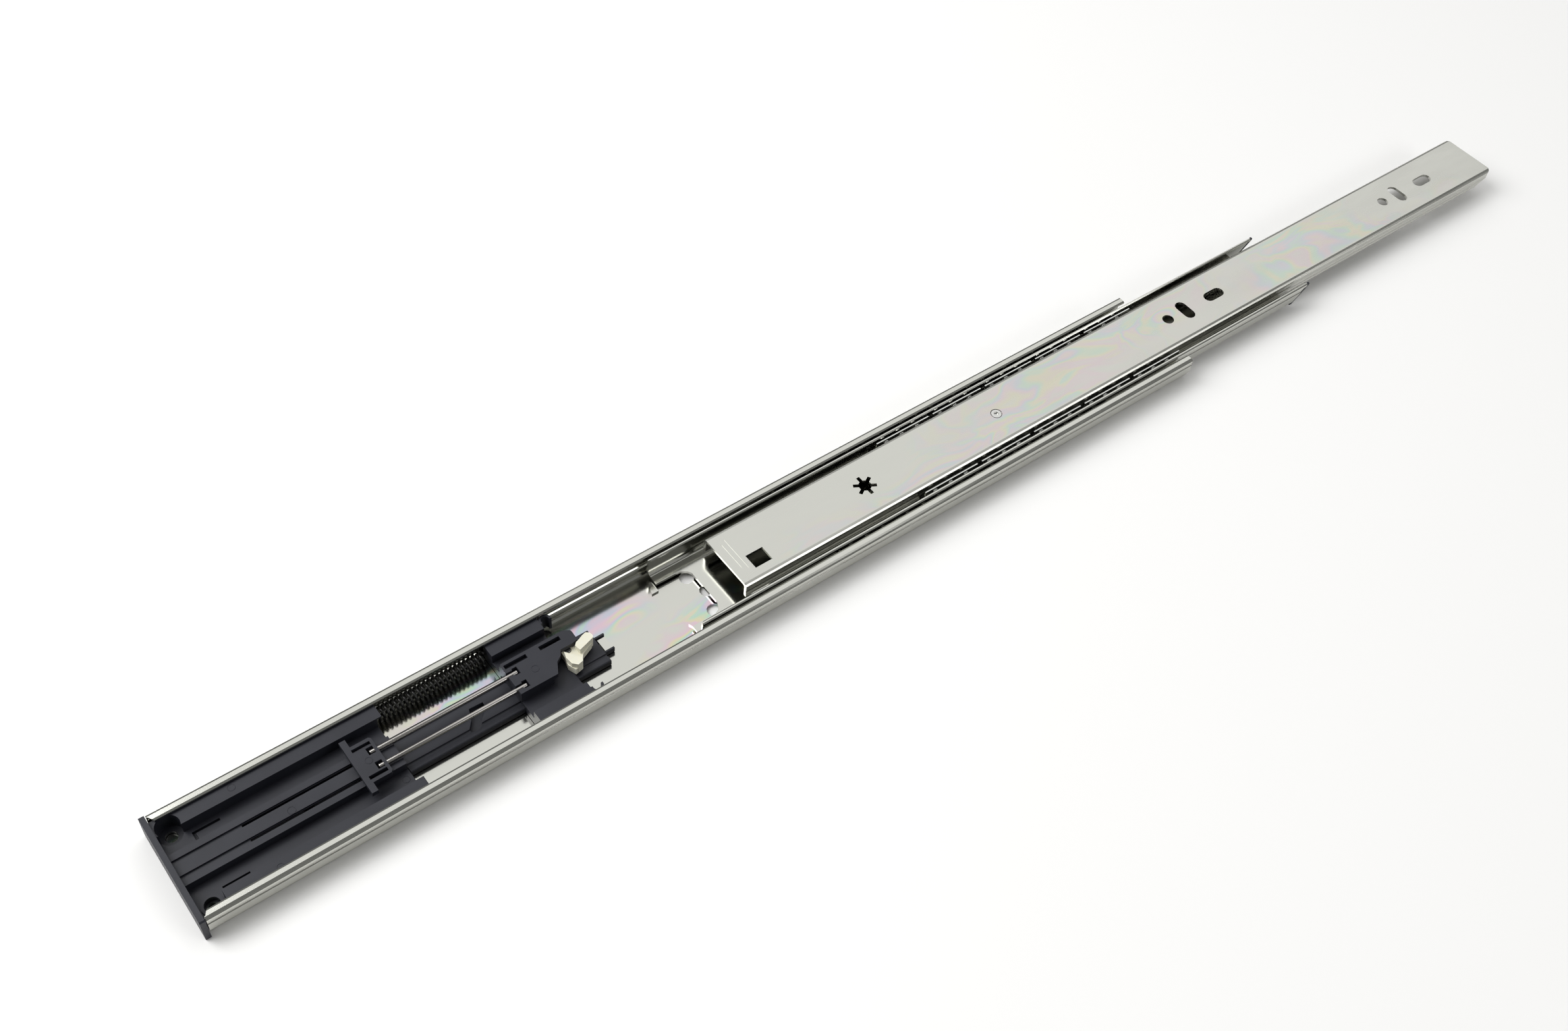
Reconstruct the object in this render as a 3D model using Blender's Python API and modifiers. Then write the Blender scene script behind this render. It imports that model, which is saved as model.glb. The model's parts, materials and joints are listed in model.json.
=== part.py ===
"""Soft-close ball-bearing drawer slide, drawn partly open.

The slide lies on its cabinet face with +X the way the drawer opens and +Z towards the drawer.
The origin is on the underside of the cabinet member, halfway along it.
Lengths below are in millimetres; everything is scaled to metres as it is built.
Positions along the slide are measured from the outer face of the plastic end cap.
"""
import math

import bmesh
import bpy
from mathutils import Matrix, Vector

MM = 0.001

# Driving dimensions
SLIDE_LENGTH = 450.0
SLIDE_WIDTH = 46.0
SLIDE_HEIGHT = 12.7
CABINET_STEEL = 1.2
MEMBER_STEEL = 1.1
CAGE_STEEL = 0.5
BALL_DIAMETER = 3.0
PLAY = 0.3

# Where the members stand in the half-open pose, and how long they are
INTERMEDIATE_START = 198.0
INTERMEDIATE_LENGTH = SLIDE_LENGTH - 120.0
DRAWER_START = 221.0
RIVET_RADIUS = 2.2
DRAWER_LENGTH = SLIDE_LENGTH - 7.0
OUTER_CAGE_START = 264.0
INNER_CAGE_START = 307.0

# Ball pockets: three balls to a group, groups along each cage
GROUP_PITCH = 28.4
POCKET_PITCH = 8.0
FIRST_POCKET = 5.2
GROUPS = 5
GROUP_NOTCH = 2.4

# Soft-close unit
CAP_THICKNESS = 2.0
HOUSING_LENGTH = 82.5
BLOCK_LENGTH = 84.3
SCREW_X = 6.7
SCREW_Y_INSET = 7.3
SCREW_HEAD_RADIUS = 4.3
SCREW_HOLE_RADIUS = 2.8
RAIL_END = 164.8
RAIL_HALF_WIDTH = 8.2
CARRIAGE_START = 128.3
CARRIAGE_LENGTH = 22.0
CARRIAGE_TRAVEL = 43.0
YOKE_START = 66.8
SLED_PLATE = 2.0
ROD_RADIUS = 0.7
ROD_SPACING = 6.5
SPRING_WIRE = 0.9
SPRING_TURNS = 60
SPRING_START = 18.3

# Levels and half widths that follow from the values above
HALF_WIDTH = SLIDE_WIDTH / 2
BALL_RADIUS = BALL_DIAMETER / 2
CABINET_WALL = HALF_WIDTH - CABINET_STEEL
OUTER_BALL_Y = CABINET_WALL - PLAY - BALL_RADIUS
INTERMEDIATE_HALF = OUTER_BALL_Y - BALL_RADIUS - PLAY
INNER_BALL_Y = INTERMEDIATE_HALF - MEMBER_STEEL - PLAY - BALL_RADIUS
DRAWER_HALF = INNER_BALL_Y - BALL_RADIUS - PLAY
LIP_TOP = SLIDE_HEIGHT - 1.3
INTERMEDIATE_TOP = SLIDE_HEIGHT - 1.0
OUTER_BALL_Z = 0.55 * LIP_TOP
INNER_BALL_Z = SLIDE_HEIGHT - 3.8
FLOOR = CABINET_STEEL + PLAY
INTERMEDIATE_FLOOR = FLOOR + CAGE_STEEL + PLAY
INNER_CAGE_FLOOR = INTERMEDIATE_FLOOR + MEMBER_STEEL + PLAY
FLANGE_FOOT = INNER_BALL_Z - BALL_RADIUS - 1.5
FLANGE_INNER = DRAWER_HALF - MEMBER_STEEL - 0.15
CHANNEL_OUTER = DRAWER_HALF + 0.5
CHANNEL_INNER = FLANGE_INNER - 0.35
BLOCK_OUTER = CABINET_WALL - 1.45
BLOCK_TOP = LIP_TOP - 1.6
LEDGE_TOP = FLANGE_FOOT - 1.3
SLED_TOP = SLIDE_HEIGHT - MEMBER_STEEL - 0.7
SLED_FLOOR = SLED_TOP - SLED_PLATE
ROD_Z = SLED_TOP - 1.3
RIB_TOP = SLED_FLOOR - 0.6
RAIL_FLOOR = FLOOR
RAIL_TOP = FLANGE_FOOT - 1.8
RAIL_CLEARANCE = 0.35
VALLEY_TOP = FLANGE_FOOT - 0.4
SPRING_ROOM = BLOCK_OUTER + 0.4 - (CHANNEL_OUTER + 0.7 + 0.35)
SPRING_RADIUS = SPRING_ROOM / 2
SPRING_Y = CHANNEL_OUTER + 0.7 + 0.35 + SPRING_RADIUS
SPRING_Z = FLOOR + 0.85 + SPRING_RADIUS
ROD_Y = ROD_SPACING / 2
CARRIAGE_END = CARRIAGE_START + CARRIAGE_LENGTH

PIVOT_X = CARRIAGE_START + 24.2
PIVOT_Y = 2.0


# Scene and collections

for old in list(bpy.data.objects):
    bpy.data.objects.remove(old, do_unlink=True)

PARTS = bpy.data.collections.new("drawer_slide")
CUTTERS = bpy.data.collections.new("drawer_slide_cutters")
bpy.context.scene.collection.children.link(PARTS)
bpy.context.scene.collection.children.link(CUTTERS)


def material(name, color, roughness, metallic):
    """A plain Principled finish."""
    made = bpy.data.materials.new(name)
    made.use_nodes = True
    shader = made.node_tree.nodes["Principled BSDF"]
    shader.inputs["Base Color"].default_value = (*color, 1.0)
    shader.inputs["Roughness"].default_value = roughness
    shader.inputs["Metallic"].default_value = metallic
    return made


def material_for(color, roughness, metallic):
    """A maker of one material per part, all of the same finish."""

    def make(name):
        return material(name, color, roughness, metallic)

    return make


ZINC = material_for((0.60, 0.60, 0.57), 0.28, 1.0)
BRIGHT_STEEL = material_for((0.66, 0.66, 0.66), 0.18, 1.0)
BLACK_PLASTIC = material_for((0.045, 0.045, 0.055), 0.5, 0.0)
BLACK_STEEL = material_for((0.05, 0.05, 0.05), 0.35, 0.8)
IVORY_PLASTIC = material_for((0.72, 0.68, 0.56), 0.45, 0.0)


# Shape helpers

AXES = {
    "X": Matrix(((0, 0, 1), (1, 0, 0), (0, 1, 0))).to_4x4(),
    "Y": Matrix(((1, 0, 0), (0, 0, -1), (0, 1, 0))).to_4x4(),
    "Z": Matrix.Identity(4),
}


def place(x, y, z):
    """A point measured from the end cap, in metres from the origin."""
    return Vector(((x - SLIDE_LENGTH / 2) * MM, y * MM, z * MM))


def finish(obj, paint, smooth_angle=None):
    """Give a part its material and, if it is round, its smooth shading."""
    obj.data.materials.clear()
    obj.data.materials.append(paint(obj.name))
    if smooth_angle is not None:
        obj.data.shade_smooth()
        obj.data.set_sharp_from_angle(angle=math.radians(smooth_angle))
    return obj


def link(name, mesh, collection):
    """A new object for a mesh; cutters are drawn as wire and never rendered."""
    obj = bpy.data.objects.new(name, mesh)
    collection.objects.link(obj)
    if collection is CUTTERS:
        obj.hide_render = True
        obj.display_type = "WIRE"
    return obj


def prism(name, outlines, low, high, axis, collection=None):
    """Flat outlines, a rim and then any holes, pushed along an axis from low to high.

    Along X an outline holds (y, z), along Y it holds (x, z) and along Z it holds (x, y).
    """
    curve = bpy.data.curves.new(name + "_outline", "CURVE")
    curve.dimensions = "2D"
    curve.fill_mode = "NONE"
    curve.extrude = (high - low) * MM / 2
    spline = curve.splines.new("POLY")
    spline.points.add(len(outlines[0]) - 1)
    for point, (u, v) in zip(spline.points, outlines[0]):
        point.co = (u * MM, v * MM, 0, 1)
    spline.use_cyclic_u = True
    drawn = bpy.data.objects.new(name + "_outline", curve)
    CUTTERS.objects.link(drawn)
    middle = (high + low) * MM / 2
    offset = {"X": (middle, 0, 0), "Y": (0, middle, 0), "Z": (0, 0, middle)}[axis]
    drawn.matrix_world = Matrix.Translation(offset) @ AXES[axis]
    drawn.location.x -= SLIDE_LENGTH * MM / 2
    obj = solidified(name, drawn, collection or PARTS)
    for number, hole in enumerate(outlines[1:]):
        tool = prism(f"{name}_opening_{number}", [hole], low - 1.0, high + 1.0, axis, CUTTERS)
        boolean(obj, tool, "DIFFERENCE")
    return obj


def solidified(name, drawn, collection):
    """Turn a drawn curve into a closed mesh object in the same place."""
    bpy.context.view_layer.update()
    graph = bpy.context.evaluated_depsgraph_get()
    mesh = bpy.data.meshes.new_from_object(drawn.evaluated_get(graph))
    mesh.name = name
    shape = bmesh.new()
    shape.from_mesh(mesh)
    shape.transform(drawn.matrix_world)
    bmesh.ops.remove_doubles(shape, verts=shape.verts, dist=0.000005)
    rims = [edge for edge in shape.edges if edge.is_boundary]
    if rims:
        bmesh.ops.holes_fill(shape, edges=rims)
    bmesh.ops.recalc_face_normals(shape, faces=shape.faces)
    shape.to_mesh(mesh)
    shape.free()
    bpy.data.objects.remove(drawn, do_unlink=True)
    return link(name, mesh, collection)


def box(name, low, high, collection=None):
    """A block between two corners."""
    shape = bmesh.new()
    bmesh.ops.create_cube(shape, size=1.0)
    size = [(b - a) * MM for a, b in zip(low, high)]
    bmesh.ops.scale(shape, vec=size, verts=shape.verts)
    middle = [(a + b) / 2 for a, b in zip(low, high)]
    bmesh.ops.translate(shape, vec=place(*middle), verts=shape.verts)
    mesh = bpy.data.meshes.new(name)
    shape.to_mesh(mesh)
    shape.free()
    return link(name, mesh, collection or PARTS)


def round_bar(name, center, radius, length, axis, segments=16, collection=None, turn=0.0):
    """A cylinder about a center, along one axis, turned about itself by an angle."""
    shape = bmesh.new()
    bmesh.ops.create_cone(
        shape,
        cap_ends=True,
        segments=segments,
        radius1=radius * MM,
        radius2=radius * MM,
        depth=length * MM,
    )
    shape.transform(AXES[axis] @ Matrix.Rotation(math.radians(turn), 4, "Z"))
    bmesh.ops.translate(shape, vec=place(*center), verts=shape.verts)
    mesh = bpy.data.meshes.new(name)
    shape.to_mesh(mesh)
    shape.free()
    return link(name, mesh, collection or PARTS)


def turned(name, start, profile, segments=14):
    """A part turned about an axis along X: profile holds (distance along X, radius)."""
    mesh = bpy.data.meshes.new(name)
    shape = bmesh.new()
    points = [shape.verts.new((radius * MM, 0, -along * MM)) for along, radius in profile]
    for a, b in zip(points, points[1:]):
        shape.edges.new((a, b))
    shape.to_mesh(mesh)
    shape.free()
    obj = link(name, mesh, PARTS)
    obj.location = place(*start)
    obj.rotation_euler = (0, -math.pi / 2, 0)
    screw = obj.modifiers.new("turn", "SCREW")
    screw.axis = "Z"
    screw.steps = segments
    screw.render_steps = segments
    screw.use_merge_vertices = True
    screw.merge_threshold = 0.00002
    return obj


def boolean(obj, tool, operation):
    """Cut a tool from a part, or join it on."""
    change = obj.modifiers.new(tool.name, "BOOLEAN")
    change.operation = operation
    change.solver = "EXACT"
    change.object = tool
    return obj


def cut(obj, *tools):
    for tool in tools:
        boolean(obj, tool, "DIFFERENCE")
    return obj


def join(obj, *tools):
    for tool in tools:
        boolean(obj, tool, "UNION")
    return obj


def weld(obj):
    """Merge the corners that cuts leave within a few microns of each other."""
    merge = obj.modifiers.new("weld", "WELD")
    merge.merge_threshold = 0.000004
    return obj


def cutting_box(name, low, high):
    return box(name, low, high, CUTTERS)


def cutting_bar(name, center, radius, length, axis, segments=16, turn=0.0):
    return round_bar(name, center, radius, length, axis, segments, CUTTERS, turn)


def cutting_prism(name, outline, low, high, axis):
    return prism(name, [outline], low, high, axis, CUTTERS)


def arc(center, radius, start, end, count):
    """Points along an arc, in degrees."""
    points = []
    for step in range(count + 1):
        angle = math.radians(start + (end - start) * step / count)
        points.append((center[0] + radius * math.cos(angle), center[1] + radius * math.sin(angle)))
    return points


def hole_outline(x, y, radius, start=0.0):
    """A round hole of twelve sides, its first corner at an angle."""
    return arc((x, y), radius, start, start + 330, 11)


def slot_outline(x, y, length, width):
    """A slot with round ends along X, centered on a point."""
    radius = width / 2
    reach = length / 2 - radius
    return arc((x + reach, y), radius, -90, 90, 6) + arc((x - reach, y), radius, 90, 270, 6)


def cross_slot_outline(x, y, length, width):
    """The same slot turned across the slide."""
    return [(x + v - y, y + u - x) for u, v in slot_outline(x, y, length, width)]


def star_outline(x, y, tip, root, arms):
    """A round hole with narrow arms that have blunt ends."""
    points = []
    for arm in range(arms):
        middle = 360 * arm / arms + 90
        points += arc((x, y), root, middle - 28, middle - 17, 1)
        points += arc((x, y), tip, middle - 9, middle + 9, 2)
        points += arc((x, y), root, middle + 17, middle + 28, 1)
    return points


def both_sides(half):
    """Close a half section, drawn at +Y, with its mirror image."""
    return half + [(-y, z) for y, z in reversed(half)]


# Rolled sections of the three steel members and of the ball cages

def cabinet_section():
    h = HALF_WIDTH
    wall = CABINET_WALL
    top = LIP_TOP
    low = OUTER_BALL_Z - BALL_RADIUS
    high = OUTER_BALL_Z + BALL_RADIUS
    outside = [
        (h - 3.4, 0),
        (h - 2.3, 0.35),
        (h - 1.5, 1.1),
        (h - 1.1, 2.1),
        (h - 1.0, low - 1.3),
        (h - 0.35, low - 0.75),
        (h, low - 0.3),
        (h, high + 0.2),
        (h - 0.3, high + 0.55),
        (h - 0.3, top - 2.1),
        (h - 0.05, top - 1.7),
        (h - 0.15, top - 0.9),
        (h - 0.6, top - 0.25),
        (h - 1.3, top),
        (h - 3.0, top - 0.05),
        (h - 3.7, top - 0.4),
    ]
    inside = [
        (h - 3.75, top - 1.0),
        (h - 3.3, top - 1.25),
        (h - 1.9, top - 1.3),
        (h - 1.5, top - 1.8),
        (wall - 0.15, high + 0.5),
        (wall, high + 0.15),
        (wall, low - 0.15),
        (wall - 0.4, low - 0.55),
        (wall - 1.0, low - 0.9),
        (wall - 1.1, CABINET_STEEL + 1.2),
        (wall - 1.6, CABINET_STEEL + 0.45),
        (wall - 2.4, CABINET_STEEL),
    ]
    return both_sides(outside + inside)


def intermediate_section():
    m = INTERMEDIATE_HALF
    wall = INTERMEDIATE_HALF - MEMBER_STEEL
    floor = INTERMEDIATE_FLOOR
    top = INTERMEDIATE_TOP
    high = OUTER_BALL_Z + BALL_RADIUS
    outside = [
        (m - 2.4, floor),
        (m - 1.3, floor + 0.3),
        (m - 0.6, floor + 1.0),
        (m - 0.3, floor + 1.7),
        (m, floor + 2.1),
        (m, high + 0.3),
        (m - 0.25, high + 0.6),
        (m - 0.25, top - 1.9),
        (m, top - 1.5),
        (m - 0.1, top - 0.6),
        (m - 0.5, top - 0.1),
        (m - 1.0, top),
        (m - 1.45, top - 0.35),
    ]
    inside = [
        (m - 1.5, top - 0.9),
        (m - 1.25, top - 1.15),
        (wall, top - 1.3),
        (wall, floor + 2.4),
        (wall - 0.25, floor + MEMBER_STEEL + 0.6),
        (wall - 0.8, floor + MEMBER_STEEL + 0.15),
        (wall - 1.5, floor + MEMBER_STEEL),
    ]
    return both_sides(outside + inside)


def drawer_section():
    d = DRAWER_HALF
    inner = FLANGE_INNER
    top = SLIDE_HEIGHT
    ball = INNER_BALL_Z
    reach = BALL_RADIUS + 0.25
    foot = FLANGE_FOOT
    outside = [
        (d - 1.5, top),
        (d - 0.6, top - 0.3),
        (d, top - 0.9),
        (d + 0.1, top - 1.3),
        (d + 0.1, ball + reach + 0.25),
        (d, ball + reach),
        (d, ball + 0.4),
        (d - 0.2, ball),
        (d, ball - 0.4),
        (d, ball - reach),
        (d + 0.1, ball - reach - 0.25),
        (d + 0.1, foot + 0.3),
        (d - 0.2, foot),
    ]
    inside = [
        (inner + 0.3, foot),
        (inner + 0.1, foot + 0.3),
        (inner, foot + 0.8),
        (inner, top - 1.9),
        (inner - 0.35, top - 1.3),
        (inner - 1.05, top - MEMBER_STEEL),
    ]
    return both_sides(outside + inside)


def cage_section(ball_y, floor, top):
    """A thin U whose side walls stand in line with the balls."""
    outer = ball_y + CAGE_STEEL / 2
    inner = ball_y - CAGE_STEEL / 2
    half = [
        (outer - 1.7, floor),
        (outer - 0.7, floor + 0.5),
        (outer - 0.1, floor + 1.4),
        (outer, floor + 2.0),
        (outer, top),
        (inner, top),
        (inner, floor + 2.1),
        (inner - 0.1, floor + 1.6),
        (inner - 0.6, floor + 0.9),
        (inner - 1.4, floor + CAGE_STEEL),
    ]
    return both_sides(half)


# Steel members

def drill(obj, label, outlines, low, high):
    """Punch a set of holes straight down through a web."""
    for number, outline in enumerate(outlines):
        cut(obj, cutting_prism(f"{label}_{number}", outline, low, high, "Z"))
    return obj


def cabinet_member():
    start = CAP_THICKNESS + PLAY
    member = prism("cabinet_member", [cabinet_section()], start, SLIDE_LENGTH, "X")
    front = SLIDE_LENGTH - 37.0
    rear = INTERMEDIATE_START + 12.0
    holes = [
        hole_outline(rear, 9.0, 2.9, 9.0),
        hole_outline(rear + 3.0, 0, 2.9, 14.0),
        hole_outline(rear, -9.0, 2.9, 19.0),
        slot_outline(front, 0, 10.0, 4.6),
        hole_outline(front - 18.0, 0, 2.3, 24.0),
        slot_outline(front - 96.0, 0, 10.0, 4.6),
        hole_outline(front - 114.0, 0, 2.3, 29.0),
        cross_slot_outline(front - 150.0, 0, 9.0, 4.6),
    ]
    drill(member, "cabinet_hole", holes, -1.0, CABINET_STEEL + 1.0)
    tab_start = RAIL_END + 0.8
    tab = box(
        "rail_tab",
        (tab_start, -2.8, CABINET_STEEL - 0.6),
        (tab_start + 3.3, 2.8, RAIL_TOP - 1.1),
        CUTTERS,
    )
    join(member, tab)
    for side, stop_start in ((-1, INTERMEDIATE_START), (1, INTERMEDIATE_START - 3.5)):
        stop = [
            (stop_start, side * 9.5),
            (stop_start + 2.0, side * 14.5),
            (stop_start + 3.0, side * 14.5),
            (stop_start + 3.0, side * 9.5),
        ]
        top = INTERMEDIATE_FLOOR - PLAY
        tool = prism(f"stop_{side}", [stop], CABINET_STEEL - 0.6, top, "Z", CUTTERS)
        join(member, tool)
    for side in (-1, 1):
        corner = [
            (start - 1.0, side * (HALF_WIDTH - 5.0)),
            (start + 2.6, side * (HALF_WIDTH - 5.0)),
            (start + 1.6, side * (HALF_WIDTH - 3.3)),
            (start + 0.5, side * (HALF_WIDTH - 1.6)),
            (start - 1.0, side * (HALF_WIDTH - 0.9)),
        ]
        cut(member, cutting_prism(f"lip_corner_{side}", corner, LIP_TOP - 1.4, LIP_TOP + 1.0, "Z"))
    return finish(weld(member), ZINC)


def intermediate_member():
    start = INTERMEDIATE_START
    end = start + INTERMEDIATE_LENGTH
    floor = INTERMEDIATE_FLOOR
    member = prism("intermediate_member", [intermediate_section()], start, end, "X")
    low = floor - 1.0
    high = floor + MEMBER_STEEL + 1.0
    mouth = RAIL_HALF_WIDTH + 3.7
    bay = [
        (start - 5.0, -mouth),
        (start + 10.5, -mouth),
        (start + 12.6, -mouth + 1.0),
        (start + 14.0, -mouth + 4.0),
        (start + 14.0, mouth - 3.4),
        (start + 13.0, mouth - 1.8),
        (start + 10.5, mouth - 0.2),
        (start - 5.0, mouth),
    ]
    window = [
        *arc((start + 22.7, -RAIL_HALF_WIDTH + 1.6), 2.0, 180, 270, 3),
        *arc((start + 110.0, -RAIL_HALF_WIDTH + 1.6), 2.0, 270, 360, 3),
        *arc((start + 110.0, RAIL_HALF_WIDTH - 1.6), 2.0, 0, 90, 3),
        *arc((start + 22.7, RAIL_HALF_WIDTH - 1.6), 2.0, 90, 180, 3),
    ]
    holes = [
        bay,
        window,
        slot_outline(start + 170.0, 0, 22.0, 9.0),
        slot_outline(start + 260.0, 0, 22.0, 9.0),
    ]
    drill(member, "intermediate_hole", holes, low, high)
    slope = [
        (end - 10.0, floor - 1.0),
        (end + 2.0, floor - 1.0),
        (end + 2.0, INTERMEDIATE_TOP + 1.0),
        (end, INTERMEDIATE_TOP + 1.0),
        (end, INTERMEDIATE_TOP - 0.8),
        (end - 9.0, floor + 0.6),
    ]
    reach = INTERMEDIATE_HALF + 1.0
    cut(member, cutting_prism("intermediate_front_slope", slope, -reach, reach, "Y"))
    for side in (-1, 1):
        corner = [
            (start - 1.0, side * (INTERMEDIATE_HALF - 3.0)),
            (start + 1.6, side * (INTERMEDIATE_HALF - 3.0)),
            (start + 1.0, side * (INTERMEDIATE_HALF - 1.3)),
            (start - 1.0, side * (INTERMEDIATE_HALF - 0.4)),
        ]
        tool = cutting_prism(
            f"intermediate_lip_corner_{side}",
            corner,
            INTERMEDIATE_TOP - 1.6,
            INTERMEDIATE_TOP + 1.0,
            "Z",
        )
        cut(member, tool)
    return finish(weld(member), ZINC)


def drawer_member():
    start = DRAWER_START
    end = start + DRAWER_LENGTH
    member = prism("drawer_member", [drawer_section()], start, end, "X")
    low = SLIDE_HEIGHT - MEMBER_STEEL - 0.4
    high = SLIDE_HEIGHT + 1.0
    front = end - 64.0
    middle = start + 236.3
    holes = [
        [(start + 8, -8.6), (start + 15.8, -8.6), (start + 15.8, -1.9), (start + 8, -1.9)],
        star_outline(start + 67.5, 0, 4.8, 2.6, 6),
        arc((start + 136.5, 0), RIVET_RADIUS + PLAY, 4, 349, 17),
    ]
    for first in (middle, front):
        holes += [
            arc((first, 0), 2.6, 6, 351, 15),
            cross_slot_outline(first + 10.5, 0, 10.6, 5.2),
            slot_outline(first + 28.4, 0, 10.8, 5.2),
        ]
    drill(member, "drawer_hole", holes, low, high)
    for number, (x, half) in enumerate(((start + 3.4, 6.5), (start + 5.6, 8.0))):
        line = cutting_box(
            f"drawer_crease_{number}",
            (x, 1.0 - half, SLIDE_HEIGHT - 0.1),
            (x + 0.28, 1.0 + half, SLIDE_HEIGHT + 1.0),
        )
        cut(member, line)
    foot_cut = [
        (end - 10.0, FLANGE_FOOT - 1.0),
        (end + 1.0, FLANGE_FOOT - 1.0),
        (end + 1.0, SLIDE_HEIGHT - 3.5),
        (end - 3.0, SLIDE_HEIGHT - 4.5),
        (end - 9.0, FLANGE_FOOT + 0.4),
    ]
    reach = DRAWER_HALF + 1.0
    cut(member, cutting_prism("drawer_front_slope", foot_cut, -reach, reach, "Y"))
    for side in (-1, 1):
        corner = [
            (end - 2.2, side * (DRAWER_HALF + 1.0)),
            (end - 2.2, side * (DRAWER_HALF + 0.2)),
            (end - 0.8, side * (DRAWER_HALF - 0.5)),
            (end, side * (DRAWER_HALF - 2.0)),
            (end + 1.0, side * (DRAWER_HALF - 2.0)),
            (end + 1.0, side * (DRAWER_HALF + 1.0)),
        ]
        tool = cutting_prism(f"drawer_corner_{side}", corner, FLANGE_FOOT - 1.0, high, "Z")
        cut(member, tool)
    return finish(weld(member), ZINC)


def drawer_rivet():
    top = SLIDE_HEIGHT - 0.02
    under = SLED_TOP + 0.25
    web = SLIDE_HEIGHT - MEMBER_STEEL
    x = DRAWER_START + 136.5
    middle = (top + under) / 2
    rivet = round_bar("drawer_rivet", (x, 0, middle), RIVET_RADIUS, top - under, "Z", 20)
    flange_middle = (web - 0.1 + under) / 2
    flange = round_bar("rivet_flange", (x, 0, flange_middle), RIVET_RADIUS + 1.0, web - 0.1 - under, "Z", 20, CUTTERS)
    join(rivet, flange)
    cut(rivet, cutting_bar("rivet_dimple", (x, 0, top), RIVET_RADIUS * 0.45, 1.4, "Z", 16))
    return finish(rivet, BRIGHT_STEEL, 40)


def bumper(name, side):
    """A black plastic strip on the sloping front edge of an intermediate side wall."""
    end = INTERMEDIATE_START + INTERMEDIATE_LENGTH
    gap = PLAY
    outline = [
        (end + gap, INTERMEDIATE_TOP - 0.3),
        (end + gap, INTERMEDIATE_TOP - 0.9),
        (end - 9.0 + gap, INTERMEDIATE_FLOOR + 0.7),
        (end - 7.6 + gap, INTERMEDIATE_FLOOR + 0.7),
        (end + 1.2 + gap, INTERMEDIATE_TOP - 1.2),
        (end + 1.2 + gap, INTERMEDIATE_TOP - 0.3),
    ]
    inner = INTERMEDIATE_HALF - MEMBER_STEEL - 0.1
    outer = INTERMEDIATE_HALF - 0.1
    low, high = sorted((side * inner, side * outer))
    return finish(prism(name, [outline], low, high, "Y"), BLACK_PLASTIC)


# Balls and cages

def pocket_places(start):
    """Places of the balls along a cage, group by group."""
    places = []
    for group in range(GROUPS):
        for pocket in range(3):
            places.append(start + FIRST_POCKET + group * GROUP_PITCH + pocket * POCKET_PITCH)
    return places


def pocket_row(name, pockets, ball_y, ball_z):
    """One cutter for every ball pocket of a cage, through both walls."""
    shape = bmesh.new()
    for number, x in enumerate(pockets):
        made = bmesh.ops.create_cone(
            shape,
            cap_ends=True,
            segments=8,
            radius1=(BALL_RADIUS + PLAY) * MM,
            radius2=(BALL_RADIUS + PLAY) * MM,
            depth=(2 * ball_y + 4.0) * MM,
        )
        spin = Matrix.Rotation(math.radians(11.0 + 5.0 * (number % 4)), 4, "Z")
        bmesh.ops.transform(shape, matrix=AXES["Y"] @ spin, verts=made["verts"])
        bmesh.ops.translate(shape, vec=place(x, 0, ball_z), verts=made["verts"])
    mesh = bpy.data.meshes.new(name)
    shape.to_mesh(mesh)
    shape.free()
    return link(name, mesh, CUTTERS)


def notch_row(name, starts, ball_y, low, high):
    """One cutter for the notches that divide a cage into groups of three balls."""
    shape = bmesh.new()
    for x in starts:
        made = bmesh.ops.create_cube(shape, size=1.0)
        size = (GROUP_NOTCH * MM, (2 * ball_y + 4.0) * MM, (high - low) * MM)
        bmesh.ops.scale(shape, vec=size, verts=made["verts"])
        middle = place(x + GROUP_NOTCH / 2, 0, (low + high) / 2)
        bmesh.ops.translate(shape, vec=middle, verts=made["verts"])
    mesh = bpy.data.meshes.new(name)
    shape.to_mesh(mesh)
    shape.free()
    return link(name, mesh, CUTTERS)


def cage(name, section, start, end, ball_y, ball_z, top, pockets):
    strip = prism(name, [section], start, end, "X")
    cut(strip, pocket_row(f"{name}_pockets", pockets, ball_y, ball_z))
    first = pockets[0] - FIRST_POCKET - GROUP_NOTCH / 2
    starts = [first + group * GROUP_PITCH for group in range(1, GROUPS)]
    cut(strip, notch_row(f"{name}_notches", starts, ball_y, ball_z - 1.0, top + 1.0))
    return finish(strip, BRIGHT_STEEL)


def outer_ball_cage():
    top = OUTER_BALL_Z + BALL_RADIUS + 1.2
    section = cage_section(OUTER_BALL_Y, FLOOR, top)
    end = OUTER_CAGE_START + GROUPS * GROUP_PITCH
    strip = cage(
        "outer_ball_cage",
        section,
        OUTER_CAGE_START,
        end,
        OUTER_BALL_Y,
        OUTER_BALL_Z,
        top,
        pocket_places(OUTER_CAGE_START),
    )
    mouth = RAIL_HALF_WIDTH + 1.5
    bay = cutting_box(
        "outer_cage_bay",
        (OUTER_CAGE_START - 1.0, -mouth, 0),
        (OUTER_CAGE_START + 14.0, mouth, FLOOR + 2.0),
    )
    window = cutting_box(
        "outer_cage_window",
        (OUTER_CAGE_START + 26.0, -mouth, 0),
        (end - 12.0, mouth, FLOOR + 2.0),
    )
    return weld(cut(strip, bay, window))


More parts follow.
